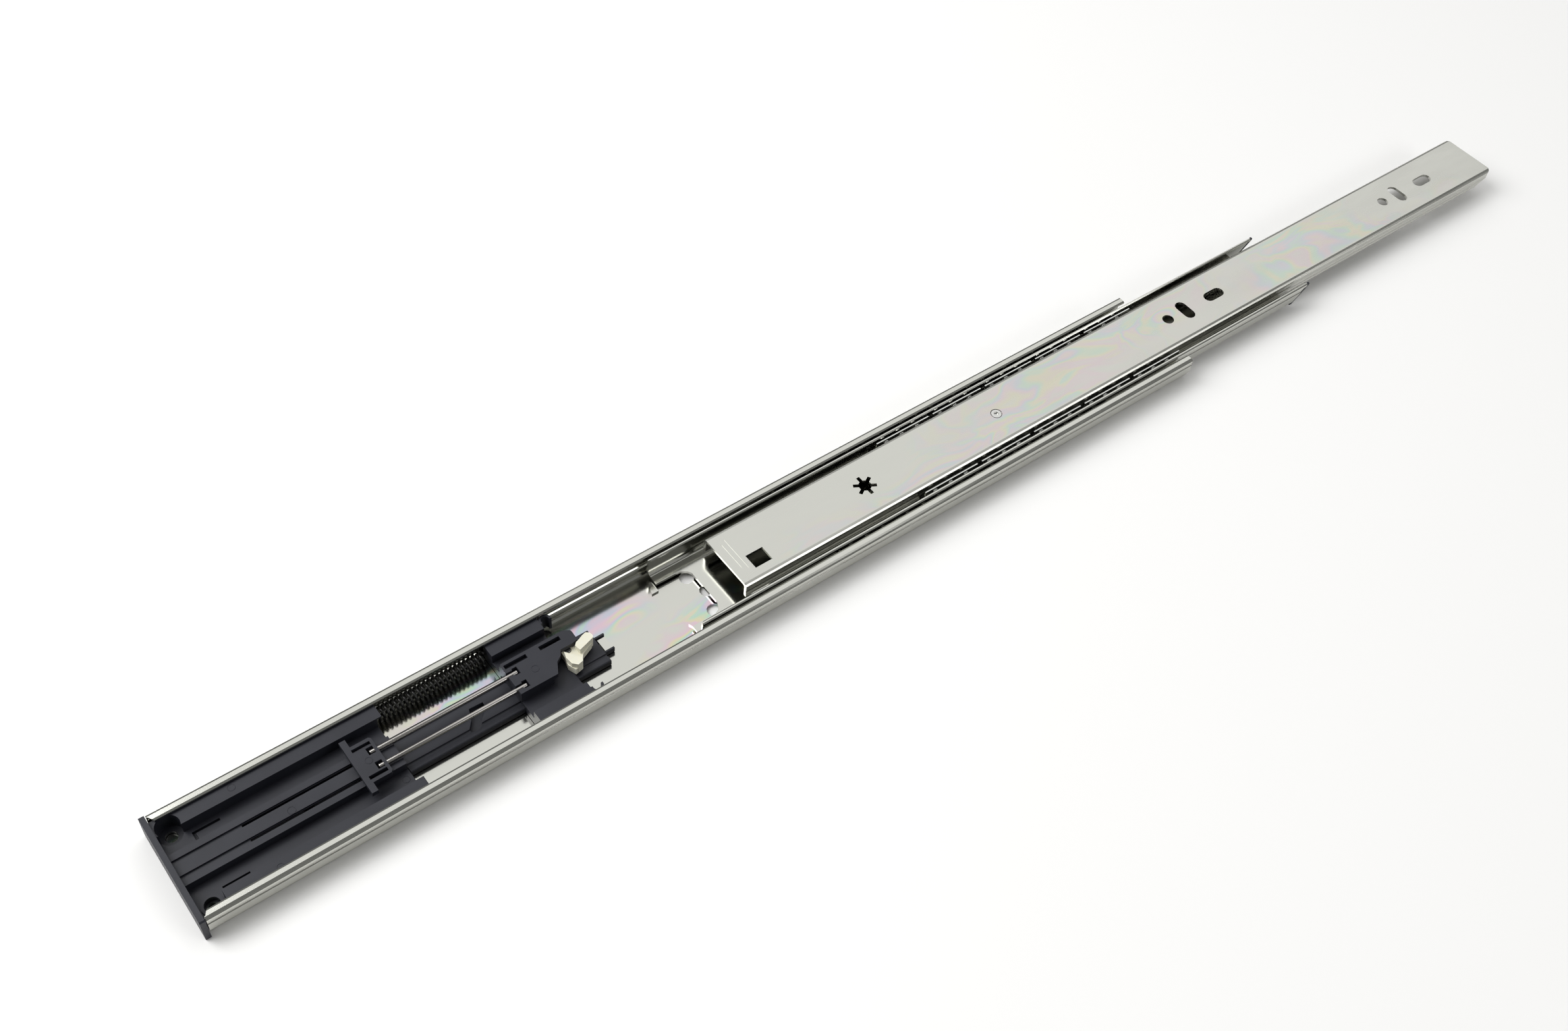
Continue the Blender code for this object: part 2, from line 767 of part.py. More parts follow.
def inner_ball_cage():
    top = INTERMEDIATE_TOP - 0.5
    pockets = pocket_places(INNER_CAGE_START)
    end = INNER_CAGE_START + GROUPS * GROUP_PITCH
    section = cage_section(INNER_BALL_Y, INNER_CAGE_FLOOR, top)
    strip = cage(
        "inner_ball_cage",
        section,
        INNER_CAGE_START,
        end,
        INNER_BALL_Y,
        INNER_BALL_Z,
        top,
        pockets,
    )
    mouth = RAIL_HALF_WIDTH + 0.6
    bay = cutting_box(
        "inner_cage_bay",
        (INNER_CAGE_START - 1.0, -mouth, 0),
        (INNER_CAGE_START + 16.0, mouth, INNER_CAGE_FLOOR + 1.5),
    )
    window = cutting_box(
        "inner_cage_window",
        (INNER_CAGE_START + 28.0, -mouth, 0),
        (end - 12.0, mouth, INNER_CAGE_FLOOR + 1.5),
    )
    return weld(cut(strip, bay, window))


def ball(name, center):
    shape = bmesh.new()
    bmesh.ops.create_uvsphere(shape, u_segments=10, v_segments=6, radius=BALL_RADIUS * MM)
    bmesh.ops.translate(shape, vec=place(*center), verts=shape.verts)
    mesh = bpy.data.meshes.new(name)
    shape.to_mesh(mesh)
    shape.free()
    return finish(link(name, mesh, PARTS), BRIGHT_STEEL, 60)


def balls():
    """The balls at both ends of each cage; the ones between them are alike."""
    inner = pocket_places(INNER_CAGE_START)
    outer = pocket_places(OUTER_CAGE_START)
    for side, label in ((-1, "near"), (1, "far")):
        for number, x in enumerate(inner[:3] + inner[-3:]):
            ball(f"inner_ball_{label}_{number + 1}", (x, side * INNER_BALL_Y, INNER_BALL_Z))
        for number, x in enumerate(outer[:2] + outer[-2:]):
            ball(f"outer_ball_{label}_{number + 1}", (x, side * OUTER_BALL_Y, OUTER_BALL_Z))


# Soft-close unit

def soft_close_housing():
    """End cap, floor, damper tunnel and the two side blocks, in one moulding."""
    outer = BLOCK_OUTER
    top = BLOCK_TOP
    floor = FLOOR
    cover = 0.7
    spring_floor = floor + 0.5
    rib = RAIL_HALF_WIDTH - 1.6
    near_block = CHANNEL_OUTER + 1.0
    section = [
        (-outer + 1.35, floor),
        (outer - 1.35, floor),
        (outer - 0.9, spring_floor),
        (CHANNEL_OUTER + cover, spring_floor),
        (CHANNEL_OUTER + cover, top - cover),
        (outer, top - cover),
        (outer, top),
        (CHANNEL_OUTER, top),
        (CHANNEL_OUTER, LEDGE_TOP),
        (rib, LEDGE_TOP),
        (rib, RIB_TOP),
        (-rib, RIB_TOP),
        (-rib, LEDGE_TOP),
        (-near_block, LEDGE_TOP),
        (-near_block, top),
        (-outer, top),
        (-outer, floor + 1.2),
    ]
    housing = prism("soft_close_housing", [section], CAP_THICKNESS - 0.4, HOUSING_LENGTH, "X")
    cap = [
        (-HALF_WIDTH, 0),
        (HALF_WIDTH, 0),
        (HALF_WIDTH, LIP_TOP - 0.5),
        (HALF_WIDTH - 0.5, LIP_TOP),
        (-HALF_WIDTH + 0.5, LIP_TOP),
        (-HALF_WIDTH, LIP_TOP - 0.5),
    ]
    join(housing, prism("end_cap", [cap], 0, CAP_THICKNESS, "X", CUTTERS))
    spring_stop = SPRING_START - PLAY
    far_block = box(
        "far_block_root",
        (CAP_THICKNESS - 0.3, CHANNEL_OUTER + 0.2, spring_floor + 0.1),
        (spring_stop, outer - 0.05, top - 0.2),
        CUTTERS,
    )
    far_nose = box(
        "far_block_nose",
        (HOUSING_LENGTH - 0.5, CHANNEL_OUTER, top - cover),
        (BLOCK_LENGTH, outer, top),
        CUTTERS,
    )
    near_nose = box(
        "near_block_nose",
        (HOUSING_LENGTH - 0.5, -outer, floor + 1.4),
        (BLOCK_LENGTH, -near_block, top),
        CUTTERS,
    )
    screw_y = HALF_WIDTH - SCREW_Y_INSET
    boss = round_bar("screw_boss", (SCREW_X, -screw_y, LEDGE_TOP), 3.9, 1.0, "Z", 20, CUTTERS)
    join(housing, far_block, far_nose, near_nose)
    clear = cutting_box(
        "near_corner_room",
        (CAP_THICKNESS, -outer - 1.0, LEDGE_TOP),
        (SCREW_X + SCREW_HEAD_RADIUS, -near_block + 0.5, top + 1.0),
    )
    cut(housing, clear)
    join(housing, boss)
    for side, bottom in ((-1, floor + 1.2), (1, floor + 1.2)):
        depth = top + 1.0 - bottom
        radius = SCREW_HEAD_RADIUS if side > 0 else SCREW_HOLE_RADIUS
        middle = bottom + depth / 2
        cut(housing, cutting_bar(f"screw_head_{side}", (SCREW_X, side * screw_y, middle), radius, depth, "Z", 24))
        cut(housing, cutting_bar(f"screw_hole_{side}", (SCREW_X, side * screw_y, floor), 2.2, 4.0, "Z", 20))
    tunnel = cutting_box(
        "damper_tunnel",
        (CAP_THICKNESS + 1.0, -ROD_Y - 1.1, floor + 1.2),
        (HOUSING_LENGTH + 1.0, ROD_Y + 1.1, RIB_TOP - 1.2),
    )
    cut(housing, tunnel)
    for side in (-1, 1):
        low, high = sorted((side * (ROD_Y - 0.8), side * (ROD_Y + 0.8)))
        groove = cutting_box(
            f"rod_groove_{side}",
            (CAP_THICKNESS, low, RIB_TOP - 0.8),
            (HOUSING_LENGTH + 1.0, high, RIB_TOP + 1.0),
        )
        low, high = sorted((side * (ROD_Y - 0.55), side * (ROD_Y + 0.55)))
        leg_slot = cutting_box(
            f"leg_slot_{side}",
            (YOKE_START + 2.8 - CARRIAGE_TRAVEL, low, RIB_TOP - 2.0),
            (YOKE_START + 7.4, high, RIB_TOP - 0.5),
        )
        cut(housing, groove, leg_slot)
    far_latch = [
        (12.5, 8.4),
        (13.6, 8.4),
        (13.6, 11.3),
        (22.3, 11.3),
        (22.3, 12.3),
        (12.5, 12.3),
    ]
    near_latch = [
        (12.0, -13.0),
        (13.8, -13.0),
        (13.8, -12.3),
        (21.7, -12.3),
        (21.7, -11.3),
        (12.0, -11.3),
    ]
    for name, outline in (("far_latch", far_latch), ("near_latch", near_latch)):
        cut(housing, cutting_prism(name, outline, LEDGE_TOP - 1.2, LEDGE_TOP + 1.0, "Z"))
    return finish(weld(housing), BLACK_PLASTIC)


def carriage_rail():
    """The flat rail that the carriage runs on, held by the housing and the steel tab."""
    half = RAIL_HALF_WIDTH
    low = RAIL_FLOOR
    top = RAIL_TOP
    groove = 0.6
    half_section = [
        (half, low),
        (half, top - 0.4),
        (half - 0.4, top),
        (half - 2.4, top),
        (half - 2.4, top - groove),
        (half - 3.6, top - groove),
        (half - 3.6, top),
    ]
    start = HOUSING_LENGTH + PLAY
    rail = prism("carriage_rail", [both_sides(half_section)], start, RAIL_END, "X")
    for side in (-1, 1):
        low_y, high_y = sorted((side * 3.15, side * 3.95))
        prong = box(
            f"rail_prong_{side}",
            (RAIL_END - 1.0, low_y, low),
            (RAIL_END + 4.2, high_y, top - 0.2),
            CUTTERS,
        )
        join(rail, prong)
    slot = [
        (108.5, -6.4),
        (111.5, -6.6),
        (113.6, -3.2),
        (117.4, 0.2),
        (117.4, 2.6),
        (112.0, 2.8),
        (110.4, -1.6),
        (107.9, -4.6),
    ]
    cut(rail, cutting_prism("rail_slot", slot, low + 0.6, top + 1.0, "Z"))
    return finish(rail, BLACK_PLASTIC)


def damper_yoke():
    """T-shaped crosshead that takes the two link rods and works the damper."""
    x = YOKE_START
    arm = CHANNEL_INNER
    body = RAIL_HALF_WIDTH + 0.1
    outline = [
        (x, -arm),
        (x + 2.4, -arm),
        (x + 2.4, -body),
        (x + 9.3, -body),
        (x + 10.1, -body + 0.8),
        (x + 10.1, body - 0.8),
        (x + 9.3, body),
        (x + 2.4, body),
        (x + 2.4, arm),
        (x, arm),
    ]
    holes = []
    for side in (-1, 1):
        for near, far, left, right in ((5.5, 6.9, 2.1, 9.0), (1.75, 4.75, 6.4, 8.9)):
            holes.append(
                [
                    (x + left, side * near),
                    (x + right, side * near),
                    (x + right, side * far),
                    (x + left, side * far),
                ]
            )
    yoke = prism("damper_yoke", [outline, *holes], SLED_FLOOR, SLED_TOP, "Z")
    bar_low = FLOOR + 2.0
    for side in (-1, 1):
        low, high = sorted((side * (ROD_Y - 0.3), side * (ROD_Y + 0.3)))
        leg = box(
            f"yoke_leg_{side}",
            (x + 3.4, low, bar_low),
            (x + 6.2, high, SLED_FLOOR + 0.3),
            CUTTERS,
        )
        join(yoke, leg)
    crossbar = box(
        "yoke_crossbar",
        (x + 3.4, -ROD_Y - 0.2, bar_low),
        (x + 6.2, ROD_Y + 0.2, bar_low + 2.6),
        CUTTERS,
    )
    join(yoke, crossbar)
    cut(yoke, cutting_bar("plunger_hole", (x + 4.8, 0, bar_low + 1.3), 0.95, 6.0, "X", 12))
    for side in (-1, 1):
        low, high = sorted((side * (ROD_Y - 1.0), side * (ROD_Y + 1.0)))
        notch = cutting_box(
            f"rod_notch_{side}",
            (x + 8.0, low, SLED_FLOOR - 1.0),
            (x + 11.0, high, ROD_Z + ROD_RADIUS + 0.25),
        )
        cut(yoke, notch)
    return finish(yoke, BLACK_PLASTIC)


def damper_plunger():
    """Piston and stem of the damper, drawn along its tunnel by the yoke."""
    level = FLOOR + 3.3
    stem = 0.65
    profile = [
        (0.0, 0.0),
        (0.0, 1.7),
        (1.2, 2.0),
        (2.6, 2.0),
        (3.5, 1.2),
        (3.5, stem),
        (22.0, stem),
        (22.0, 1.2),
        (23.4, 1.2),
        (23.4, stem),
        (26.9, stem),
        (26.9, 1.2),
        (27.9, 1.0),
        (27.9, 0.0),
    ]
    plunger = turned("damper_plunger", (YOKE_START - 20.3, 0, level), profile)
    plunger.location = place(YOKE_START - 20.3, 0, level)
    return finish(plunger, BLACK_PLASTIC, 40)


def link_rod(name, side):
    """A steel rod with a head at each end, from the yoke to the carriage."""
    start = YOKE_START + 7.1
    end = CARRIAGE_START + 4.1
    length = end - start
    head = ROD_RADIUS + 0.25
    profile = [
        (0.0, 0.0),
        (0.0, head - 0.2),
        (0.2, head),
        (0.9, head),
        (0.9, ROD_RADIUS),
        (length - 1.2, ROD_RADIUS),
        (length - 1.2, head),
        (length - 0.2, head),
        (length, head - 0.2),
        (length, 0.0),
    ]
    rod = turned(name, (start, side * ROD_Y, ROD_Z), profile, 12)
    return finish(rod, BRIGHT_STEEL, 40)


def soft_close_carriage():
    """The sled that the spring draws home, with its two side shoes."""
    x = CARRIAGE_START
    end = CARRIAGE_END
    floor = FLOOR + 0.1
    shoe = BLOCK_OUTER - 0.05
    channel = CHANNEL_OUTER + 0.1
    arch = RAIL_HALF_WIDTH + RAIL_CLEARANCE
    arch_top = RAIL_TOP + RAIL_CLEARANCE
    valley = max(VALLEY_TOP, arch_top + 0.05)
    top = BLOCK_TOP - 0.1
    half_low = [
        (arch, floor),
        (shoe - 1.3, floor),
        (shoe, floor + 1.2),
        (shoe, top),
        (channel, top),
        (channel, valley),
    ]
    mirrored = [(-y, z) for y, z in reversed(half_low)]
    section = (
        [(arch, arch_top)]
        + half_low
        + [(9.2, valley), (9.2, SLED_FLOOR + 0.1), (-6.0, SLED_FLOOR + 0.1), (-6.0, valley)]
        + mirrored
        + [(-arch, arch_top)]
    )
    sled = prism("soft_close_carriage", [section], x + 0.12, end, "X")
    plate = [
        (x, 8.2),
        (x + 0.6, 8.8),
        (x + 26.2, 8.9),
        (x + 28.9, 7.5),
        (x + 29.1, 6.4),
        (x + 28.9, 2.6),
        (x + 26.5, 2.1),
        (x + 21.4, 2.1),
        (x + 20.2, 0.0),
        (x + 17.7, -1.7),
        (x + 16.7, -3.6),
        (x + 15.2, -6.2),
        (x, -6.2),
    ]
    slots = []
    for left, right in ((0.9, 10.1), (15.4, 24.0)):
        slots.append([(x + left, 5.8), (x + right, 5.8), (x + right, 7.6), (x + left, 7.6)])
    room_top = SLED_FLOOR
    room = cutting_prism(
        "trigger_room",
        [
            (x + 13.6, -10.9),
            (end + 1.0, -10.9),
            (end + 1.0, 8.0),
            (x + 17.6, 8.0),
            (x + 17.6, -1.0),
            (x + 13.6, -5.0),
        ],
        arch_top + 0.7,
        SLED_TOP + 1.0,
        "Z",
    )
    cut(sled, room)
    top_plate = prism("carriage_plate", [plate, *slots], room_top, SLED_TOP, "Z", CUTTERS)
    shelf = [
        (end - 1.0, -2.4),
        (x + 27.0, 1.0),
        (x + 29.0, 4.0),
        (x + 29.0, 7.0),
        (x + 27.6, 8.7),
        (end - 1.0, 8.7),
    ]
    shelf_plate = prism("carriage_shelf", [shelf], arch_top, arch_top + 0.7, "Z", CUTTERS)
    far_wall = box(
        "carriage_far_wall",
        (x + 17.0, 8.25, arch_top),
        (x + 27.0, 8.75, room_top + 0.2),
        CUTTERS,
    )
    join(sled, top_plate, shelf_plate, far_wall)
    for side in (-1, 1):
        low, high = sorted((side * ROD_Y - 1.0, side * ROD_Y + 1.0))
        shank = cutting_box(
            f"rod_seat_{side}",
            (x - 1.0, low, ROD_Z - ROD_RADIUS - 0.3),
            (x + 3.0, high, SLED_TOP + 1.0),
        )
        pocket = cutting_box(
            f"rod_head_seat_{side}",
            (x + 2.6, side * ROD_Y - 1.6, ROD_Z - ROD_RADIUS - 0.55),
            (x + 4.6, side * ROD_Y + 1.6, SLED_TOP + 1.0),
        )
        cut(sled, shank, pocket)
        middle = (end + 2.4, side * (shoe - 3.0))
        curl = arc(middle, 2.5, 200, -10, 10) + arc(middle, 1.6, -10, 200, 10)
        if side < 0:
            curl = [(u, -v) for u, v in arc((middle[0], -middle[1]), 2.5, 200, -10, 10)]
            curl += [(u, -v) for u, v in arc((middle[0], -middle[1]), 1.6, -10, 200, 10)]
        join(sled, prism(f"shoe_curl_{side}", [curl], floor + 1.3, top - 0.3, "Z", CUTTERS))
    return finish(weld(sled), BLACK_PLASTIC)


def trigger_hook():
    """The ivory V that the drawer member catches; it turns on a pin in the carriage."""
    x = CARRIAGE_START
    base_low = RAIL_TOP + RAIL_CLEARANCE + 1.0
    base_top = SLED_FLOOR - 0.4
    base = [
        *arc((PIVOT_X, PIVOT_Y), 2.4, 0, 180, 8),
        (x + 21.7, -0.4),
        (x + 20.9, -3.6),
        (x + 22.2, -6.9),
        (x + 25.2, -6.3),
        (x + 28.0, -2.6),
        (x + 33.0, -0.4),
        (x + 34.0, 1.0),
        (x + 33.0, 2.6),
        (x + 30.0, 2.9),
    ]
    hole = hole_outline(PIVOT_X, PIVOT_Y, 1.5, 39.0)
    hook = prism("trigger_hook", [base, hole], base_low, base_top, "Z")
    left_arm = [
        (x + 22.0, 0.6),
        (x + 26.1, -5.2),
        (x + 25.5, -6.4),
        (x + 23.3, -6.9),
        (x + 21.6, -5.2),
        (x + 21.2, -2.0),
    ]
    right_arm = [
        (x + 26.7, 0.7),
        (x + 27.7, 1.7),
        (x + 29.4, 2.3),
        (x + 31.2, 3.1),
        (x + 32.9, 3.5),
        (x + 34.1, 2.6),
        (x + 34.5, 1.0),
        (x + 33.9, 0.1),
        (x + 30.0, -1.1),
        (x + 27.2, -1.9),
    ]
    for name, outline in (("left_arm", left_arm), ("right_arm", right_arm)):
        join(hook, prism(name, [outline], base_low + 0.4, SLED_TOP, "Z", CUTTERS))
    return finish(hook, IVORY_PLASTIC)


def trigger_pin():
    low = RAIL_TOP + RAIL_CLEARANCE + 0.7 + PLAY
    high = SLED_FLOOR - PLAY
    pin = round_bar("trigger_pin", (PIVOT_X, PIVOT_Y, (low + high) / 2), 1.2, high - low, "Z", 14)
    return finish(pin, BRIGHT_STEEL, 40)


def carriage_spring():
    """Long tension spring between the housing and the carriage."""
    end = CARRIAGE_START - PLAY - 0.1
    radius = SPRING_RADIUS - SPRING_WIRE / 2
    steps = 6
    curve = bpy.data.curves.new("carriage_spring_wire", "CURVE")
    curve.dimensions = "3D"
    curve.bevel_depth = SPRING_WIRE * MM / 2
    curve.bevel_resolution = 0
    curve.use_fill_caps = True
    spline = curve.splines.new("POLY")
    count = SPRING_TURNS * steps
    spline.points.add(count)
    first = SPRING_START + SPRING_WIRE / 2
    last = end - SPRING_WIRE / 2
    for step in range(count + 1):
        turn = 2 * math.pi * step / steps
        along = first + (last - first) * step / count
        y = SPRING_Y + radius * math.cos(turn)
        z = SPRING_Z + radius * math.sin(turn)
        spline.points[step].co = (*place(along, y, z), 1)
    drawn = bpy.data.objects.new("carriage_spring_wire", curve)
    CUTTERS.objects.link(drawn)
    return finish(solidified("carriage_spring", drawn, PARTS), BLACK_STEEL, 70)


def build():
    cabinet_member()
    intermediate_member()
    drawer_member()
    drawer_rivet()
    bumper("bumper_near", -1)
    bumper("bumper_far", 1)
    outer_ball_cage()
    inner_ball_cage()
    balls()
    soft_close_housing()
    carriage_rail()
    damper_yoke()
    damper_plunger()
    link_rod("link_rod_near", -1)
    link_rod("link_rod_far", 1)
    soft_close_carriage()
    trigger_hook()
    trigger_pin()
    carriage_spring()


build()
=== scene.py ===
# %% [markdown]
# # A soft-close ball-bearing drawer slide
# The working parts come ready made, with their joints, as a fixed frame.
# This lesson gives them their finishes, and adds the small parts that the frame leaves out:
# the rest of the bearing balls, a finely wound spring and the moulded marks of the plastic.

# %% Load the frame
import json
import math

import bmesh
import bpy
from mathutils import Matrix, Vector


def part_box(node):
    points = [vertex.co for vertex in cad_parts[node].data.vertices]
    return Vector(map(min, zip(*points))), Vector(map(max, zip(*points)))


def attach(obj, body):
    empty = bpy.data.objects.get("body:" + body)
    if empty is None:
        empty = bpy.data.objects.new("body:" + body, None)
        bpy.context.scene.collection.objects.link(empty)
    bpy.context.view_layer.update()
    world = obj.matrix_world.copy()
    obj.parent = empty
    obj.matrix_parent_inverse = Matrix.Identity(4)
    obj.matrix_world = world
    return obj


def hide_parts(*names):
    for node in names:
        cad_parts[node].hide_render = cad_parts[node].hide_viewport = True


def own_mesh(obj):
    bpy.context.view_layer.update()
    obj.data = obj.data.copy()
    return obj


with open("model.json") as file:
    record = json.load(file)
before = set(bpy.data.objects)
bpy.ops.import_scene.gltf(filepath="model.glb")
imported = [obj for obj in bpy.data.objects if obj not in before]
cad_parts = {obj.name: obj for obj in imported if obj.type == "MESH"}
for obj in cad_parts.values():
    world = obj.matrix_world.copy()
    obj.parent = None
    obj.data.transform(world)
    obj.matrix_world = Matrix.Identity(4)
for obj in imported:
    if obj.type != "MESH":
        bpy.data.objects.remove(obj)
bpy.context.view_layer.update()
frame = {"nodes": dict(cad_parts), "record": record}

nodes = frame["nodes"]
body_of_node = {}
for body, members in frame["record"]["behaviour"]["bodies"].items():
    for member in members:
        body_of_node[member] = body

# %% [markdown]
# ## The studio
# The slide lies on a white table under broad soft lights. The camera looks down its length
# from above the end cap, so the channel opens towards the viewer. One wide panel hangs where
# flat steel mirrors it to the camera; the rest of the room stays dim, which draws the dark
# lines that make rolled steel look like steel.

# %% Camera
camera_data = bpy.data.cameras.new("studio_camera")
camera_data.lens = 39.78  # millimetres
camera_data.sensor_width = 36.0
camera_data.clip_start = 0.01
camera = bpy.data.objects.new("studio_camera", camera_data)
bpy.context.scene.collection.objects.link(camera)
right = Vector((0.796173, -0.601346, 0.067015))
down = Vector((-0.433003, -0.643620, -0.631080))
ahead = right.cross(down)
turn = Matrix((right, -down, -ahead)).transposed().to_4x4()
camera.matrix_world = Matrix.Translation((-0.253266, -0.309390, 0.526972)) @ turn
bpy.context.scene.camera = camera
bpy.context.scene.view_settings.view_transform = "Standard"


# %% [markdown]
# ## The table
# A wide matt white sheet stands just under the slide. It is staging, and no part of the object.


# %% Table
def material(name):
    """A new node material, its node tree and its Principled shader."""
    made = bpy.data.materials.new(name)
    made.use_nodes = True
    return made, made.node_tree, made.node_tree.nodes["Principled BSDF"]


def object_from(shape, name, paint):
    """A finished object, at the origin, from a bmesh."""
    mesh = bpy.data.meshes.new(name)
    shape.to_mesh(mesh)
    shape.free()
    made = bpy.data.objects.new(name, mesh)
    made.data.materials.append(paint)
    bpy.context.scene.collection.objects.link(made)
    return made


TABLE_REACH = 4.0
TABLE_DROP = 0.0003
table_paint, tree, shader = material("white_table")
shader.inputs["Base Color"].default_value = (0.97, 0.965, 0.955, 1)
shader.inputs["Roughness"].default_value = 0.7
shader.inputs["Specular IOR Level"].default_value = 0.1
table_shape = bmesh.new()
bmesh.ops.create_grid(table_shape, x_segments=1, y_segments=1, size=TABLE_REACH)
bmesh.ops.translate(table_shape, vec=(0, 0, -TABLE_DROP), verts=table_shape.verts)
table = object_from(table_shape, "table", table_paint)
print("table:", table.name, "reaching", TABLE_REACH, "m each way")

# %% [markdown]
# ## Three lights and a dim room
# The panel is what the flats mirror, the key shapes the mouldings, and a low strip on the near
# side draws the bright line along the drawer member's shoulder.


# %% Lights
def soft_light(name, place, size, power):
    """A rectangle of light that faces the middle of the slide."""
    lamp = bpy.data.lights.new(name, "AREA")
    lamp.shape = "RECTANGLE"
    lamp.size, lamp.size_y = size
    lamp.energy = power
    lit = bpy.data.objects.new(name, lamp)
    lit.location = place
    aim = LIGHT_AIM - Vector(place)
    lit.rotation_euler = aim.to_track_quat("-Z", "Y").to_euler()
    bpy.context.scene.collection.objects.link(lit)


LIGHT_AIM = Vector((0.1, 0, 0))
soft_light("mirror_panel", (1.0, 1.05, 1.75), (2.6, 2.6), 20)
soft_light("key", (-0.9, 0.7, 1.3), (1.3, 1.3), 27)
soft_light("shoulder_strip", (0.95, -1.45, 0.95), (1.3, 0.5), 6.5)

world = bpy.data.worlds.new("studio")
world.use_nodes = True
bpy.context.scene.world = world
room = world.node_tree.nodes["Background"]
room.inputs["Color"].default_value = (0.95, 0.96, 0.94, 1)
room.inputs["Strength"].default_value = 0.24
print("lights:", len(bpy.data.lights))

# %% [markdown]
# ## Shader tools
# Every finish below is wired from the same few blocks: coordinates stretched along the slide,
# a noise, a colour ramp, a change of range and a bump.


# %% Shader tools
def node(tree, kind, **values):
    """Add a node, setting its properties or its named inputs."""
    made = tree.nodes.new(kind)
    for name, value in values.items():
        if name in made.inputs:
            made.inputs[name].default_value = value
        else:
            setattr(made, name, value)
    return made


def stretched(tree, scale):
    """Object coordinates scaled along each axis."""
    place = node(tree, "ShaderNodeTexCoord")
    mapping = node(tree, "ShaderNodeMapping", Scale=scale)
    tree.links.new(place.outputs["Object"], mapping.inputs["Vector"])
    return mapping.outputs["Vector"]


def noise(tree, scale, detail, distortion=0.0):
    """Smooth noise, with so many features to the metre along each axis."""
    vector = stretched(tree, scale)
    made = node(tree, "ShaderNodeTexNoise", Scale=1.0, Detail=detail, Distortion=distortion)
    tree.links.new(vector, made.inputs["Vector"])
    return made.outputs["Fac"]


def ramp(tree, factor, stops):
    """A colour ramp through (place, colour) stops."""
    made = node(tree, "ShaderNodeValToRGB")
    elements = made.color_ramp.elements
    while len(elements) < len(stops):
        elements.new(0.5)
    for element, (place, color) in zip(elements, stops):
        element.position = place
        element.color = (*color, 1)
    tree.links.new(factor, made.inputs["Fac"])
    return made.outputs["Color"]


def span(tree, factor, low, high, smallest, largest):
    """Carry a factor from one range to another, held at the ends."""
    made = node(
        tree,
        "ShaderNodeMapRange",
        **{"From Min": low, "From Max": high, "To Min": smallest, "To Max": largest},
    )
    tree.links.new(factor, made.inputs["Value"])
    return made.outputs["Result"]


def bump(tree, height, shader, strength, distance):
    """Let a height tilt the surface, by up to distance metres."""
    made = node(tree, "ShaderNodeBump", Strength=strength, Distance=distance)
    tree.links.new(height, made.inputs["Height"])
    tree.links.new(made.outputs["Normal"], shader.inputs["Normal"])


def into(tree, output, shader, name):
    """Wire an output to one of the shader's inputs."""
    tree.links.new(output, shader.inputs[name])


def near_middle(tree, half_width):
    """One within half_width of the slide's centre line, and fading to nothing beyond it."""
    place = node(tree, "ShaderNodeTexCoord")
    split = node(tree, "ShaderNodeSeparateXYZ")
    tree.links.new(place.outputs["Object"], split.inputs["Vector"])
    distance = node(tree, "ShaderNodeMath", operation="ABSOLUTE")
    tree.links.new(split.outputs["Y"], distance.inputs[0])
    return span(tree, distance.outputs[0], half_width - 0.001, half_width, 1.0, 0.0)


def product(tree, first, second):
    """Two factors multiplied."""
    made = node(tree, "ShaderNodeMath", operation="MULTIPLY")
    tree.links.new(first, made.inputs[0])
    tree.links.new(second, made.inputs[1])
    return made.outputs[0]


# %% [markdown]
# ## Zinc-plated steel
# Bright zinc is a mirror with a haze. Its clear passivation film leaves faint pink, green and
# yellow clouds, like oil on water, and rolling leaves very fine lines along the strip.
# The clouds are a slow noise through a ramp of pale hues, laid in only where a second noise
# lets them and only on the flat web, and the lines are a noise stretched along the slide.

# %% Zinc
PLAIN_ZINC = (0.535, 0.535, 0.495)
CLOUD_HUES = [
    (0.30, PLAIN_ZINC),
    (0.38, (0.62, 0.44, 0.52)),
    (0.43, (0.62, 0.56, 0.34)),
    (0.48, (0.38, 0.59, 0.45)),
    (0.53, (0.42, 0.47, 0.60)),
    (0.58, (0.62, 0.43, 0.53)),
    (0.64, (0.60, 0.56, 0.36)),
    (0.72, PLAIN_ZINC),
]


def zinc(name, clouds, roughness, half_width, threshold=0.50):
    """A zinc finish; clouds is their strength, within half_width of the centre line."""
    paint, tree, shader = material(name)
    shader.inputs["Metallic"].default_value = 1.0
    hues = ramp(tree, noise(tree, (32, 60, 60), 2.0, 1.2), CLOUD_HUES)
    drift = noise(tree, (10, 30, 30), 1.0)
    patch = span(tree, drift, threshold, threshold + 0.12, 0.0, clouds)
    mix = node(tree, "ShaderNodeMix", data_type="RGBA")
    mix.inputs[6].default_value = (*PLAIN_ZINC, 1)
    tree.links.new(product(tree, patch, near_middle(tree, half_width)), mix.inputs[0])
    tree.links.new(hues, mix.inputs[7])
    into(tree, mix.outputs[2], shader, "Base Color")
    haze = noise(tree, (30, 120, 120), 3.0)
    into(tree, span(tree, haze, 0.3, 0.7, roughness - 0.03, roughness + 0.04), shader, "Roughness")
    lines = noise(tree, (30, 2500, 2500), 2.0)
    bump(tree, lines, shader, 0.15, 0.000002)
    return paint


zinc_channel = zinc("zinc_channel", 0.75, 0.14, 0.0165, 0.47)
zinc_drawer = zinc("zinc_drawer", 0.35, 0.26, 0.0118)
zinc_middle = zinc("zinc_middle", 0.0, 0.13, 0.0165)
print("zinc finishes:", zinc_channel.name, zinc_drawer.name, zinc_middle.name)

# %% [markdown]
# ## Plastics
# The mouldings are glass-filled nylon, blue-black with a fine spark texture that breaks up
# the shine. The trigger is undyed acetal, ivory and slightly translucent.


